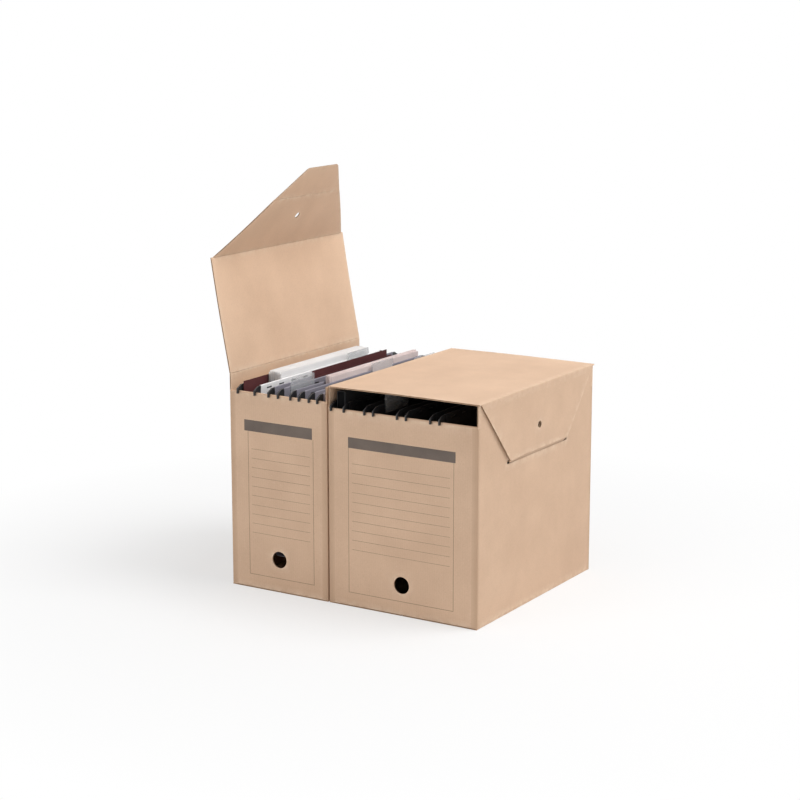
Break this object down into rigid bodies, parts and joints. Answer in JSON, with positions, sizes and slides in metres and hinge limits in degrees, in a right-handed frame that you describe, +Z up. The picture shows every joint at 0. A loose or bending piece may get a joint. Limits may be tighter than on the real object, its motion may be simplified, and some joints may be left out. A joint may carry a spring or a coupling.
{
  "type": "hanging file box set",
  "caption": "Narrow and wide corrugated-board boxes for hanging files, side by side, with hinged lids, tuck-in flaps, finger holes and hooked files inside.",
  "frame": {"origin": "middle of the two boxes' footprint on the floor, on the wide box's underside", "axes": "+Z up, -Y towards the viewer of the front panels, +X from the narrow box to the wide box"},
  "size_m": [0.4348, 0.3418, 0.5883],
  "materials": {
    "kraft_board": "uncoated kraft corrugated board",
    "maroon_card": "dyed pressed card",
    "grey_card": "dyed pressed card",
    "black_card": "dyed pressed card",
    "white_card": "dyed pressed card",
    "white_paper": "sheet edges",
    "pale_paper": "sheet edges",
    "rail_steel": "dark zinc-plated strip",
    "tab_plastic": "clear"
  },
  "bodies": {
    "narrow_shell": {"narrow_front_panel": "kraft_board", "narrow_rear_panel": "kraft_board", "narrow_front_hem": "kraft_board", "narrow_rear_hem": "kraft_board", "narrow_hinge_wall": "kraft_board", "narrow_latch_wall": "kraft_board", "narrow_base_left_flap": "kraft_board", "narrow_base_right_flap": "kraft_board", "narrow_base_front_flap": "kraft_board", "narrow_base_rear_flap": "kraft_board", "narrow_glue_flap": "kraft_board"},
    "wide_shell": {"wide_front_panel": "kraft_board", "wide_rear_panel": "kraft_board", "wide_front_hem": "kraft_board", "wide_rear_hem": "kraft_board", "wide_hinge_wall": "kraft_board", "wide_latch_wall": "kraft_board", "wide_base_left_flap": "kraft_board", "wide_base_right_flap": "kraft_board", "wide_base_front_flap": "kraft_board", "wide_base_rear_flap": "kraft_board", "wide_glue_flap": "kraft_board"},
    "narrow_lid": {"narrow_lid": "kraft_board"},
    "narrow_flap": {"narrow_lid_flap": "kraft_board"},
    "narrow_tongue": {"narrow_lid_tongue": "kraft_board"},
    "wide_lid": {"wide_lid": "kraft_board"},
    "wide_flap": {"wide_lid_flap": "kraft_board", "wide_lid_tongue": "kraft_board"},
    "narrow_file_1": {"narrow_file_1_cover": "maroon_card", "narrow_file_1_papers": "white_paper", "narrow_file_1_pocket": "white_card", "narrow_file_1_rails": "rail_steel", "narrow_file_1_tab": "tab_plastic"},
    "narrow_file_2": {"narrow_file_2_folder": "maroon_card", "narrow_file_2_pocket": "grey_card", "narrow_file_2_rails": "rail_steel", "narrow_file_2_tab": "tab_plastic"},
    "narrow_file_3": {"narrow_file_3_papers": "pale_paper", "narrow_file_3_pocket": "grey_card", "narrow_file_3_rails": "rail_steel", "narrow_file_3_tab": "tab_plastic"},
    "narrow_file_4": {"narrow_file_4_pocket": "grey_card", "narrow_file_4_rails": "rail_steel", "narrow_file_4_tab": "tab_plastic"},
    "wide_file_1": {"wide_file_1_pocket": "black_card", "wide_file_1_rails": "rail_steel", "wide_file_1_tab": "tab_plastic", "wide_file_1_wallet": "black_card"},
    "wide_file_2": {"wide_file_2_pocket": "black_card", "wide_file_2_rails": "rail_steel", "wide_file_2_tab": "tab_plastic"},
    "wide_file_3": {"wide_file_3_pocket": "black_card", "wide_file_3_rails": "rail_steel", "wide_file_3_tab": "tab_plastic"},
    "wide_file_4": {"wide_file_4_pocket": "black_card", "wide_file_4_rails": "rail_steel", "wide_file_4_tab": "tab_plastic"}
  },
  "joints": [
    {"name": "wide_box_slide", "type": "slide", "parent": "narrow_shell", "child": "wide_shell", "axis": [1, 0, 0], "range_m": [0, 0.25]},
    {"name": "narrow_lid_hinge", "type": "hinge", "parent": "narrow_shell", "child": "narrow_lid", "pos_m": [-0.2002, 0, 0.307], "axis": [0, -1, 0], "range_deg": [-78, 74.5]},
    {"name": "narrow_flap_crease", "type": "hinge", "parent": "narrow_lid", "child": "narrow_flap", "pos_m": [-0.23016, 0, 0.46865], "axis": [0, 1, 0], "range_deg": [-44, 46]},
    {"name": "narrow_tongue_crease", "type": "hinge", "parent": "narrow_flap", "child": "narrow_tongue", "pos_m": [-0.17988, 0, 0.54461], "axis": [0, 1, 0], "range_deg": [0, 40]},
    {"name": "wide_lid_hinge", "type": "hinge", "parent": "wide_shell", "child": "wide_lid", "pos_m": [-0.0338, 0, 0.307], "axis": [0, -1, 0], "range_deg": [0, 103]},
    {"name": "wide_flap_crease", "type": "hinge", "parent": "wide_lid", "child": "wide_flap", "pos_m": [0.2026, 0, 0.307], "axis": [0, -1, 0], "range_deg": [0, 45]},
    {"name": "narrow_file_1_lift", "type": "slide", "parent": "narrow_shell", "child": "narrow_file_1", "axis": [0, 0, 1], "range_m": [0, 0.225]},
    {"name": "narrow_file_2_lift", "type": "slide", "parent": "narrow_shell", "child": "narrow_file_2", "axis": [0, 0, 1], "range_m": [0, 0.225]},
    {"name": "narrow_file_3_lift", "type": "slide", "parent": "narrow_shell", "child": "narrow_file_3", "axis": [0, 0, 1], "range_m": [0, 0.225]},
    {"name": "narrow_file_4_lift", "type": "slide", "parent": "narrow_shell", "child": "narrow_file_4", "axis": [0, 0, 1], "range_m": [0, 0.225]},
    {"name": "wide_file_1_shift", "type": "slide", "parent": "wide_shell", "child": "wide_file_1", "axis": [1, 0, 0], "range_m": [0, 0.02]},
    {"name": "wide_file_2_shift", "type": "slide", "parent": "wide_shell", "child": "wide_file_2", "axis": [1, 0, 0], "range_m": [-0.01, 0.01]},
    {"name": "wide_file_3_shift", "type": "slide", "parent": "wide_shell", "child": "wide_file_3", "axis": [1, 0, 0], "range_m": [-0.01, 0.01]},
    {"name": "wide_file_4_shift", "type": "slide", "parent": "wide_shell", "child": "wide_file_4", "axis": [1, 0, 0], "range_m": [-0.01, 0.01]}
  ],
  "couplings": [
    {"joint": "wide_flap_crease", "follows": "wide_lid_hinge", "ratio": 0.43}
  ]
}
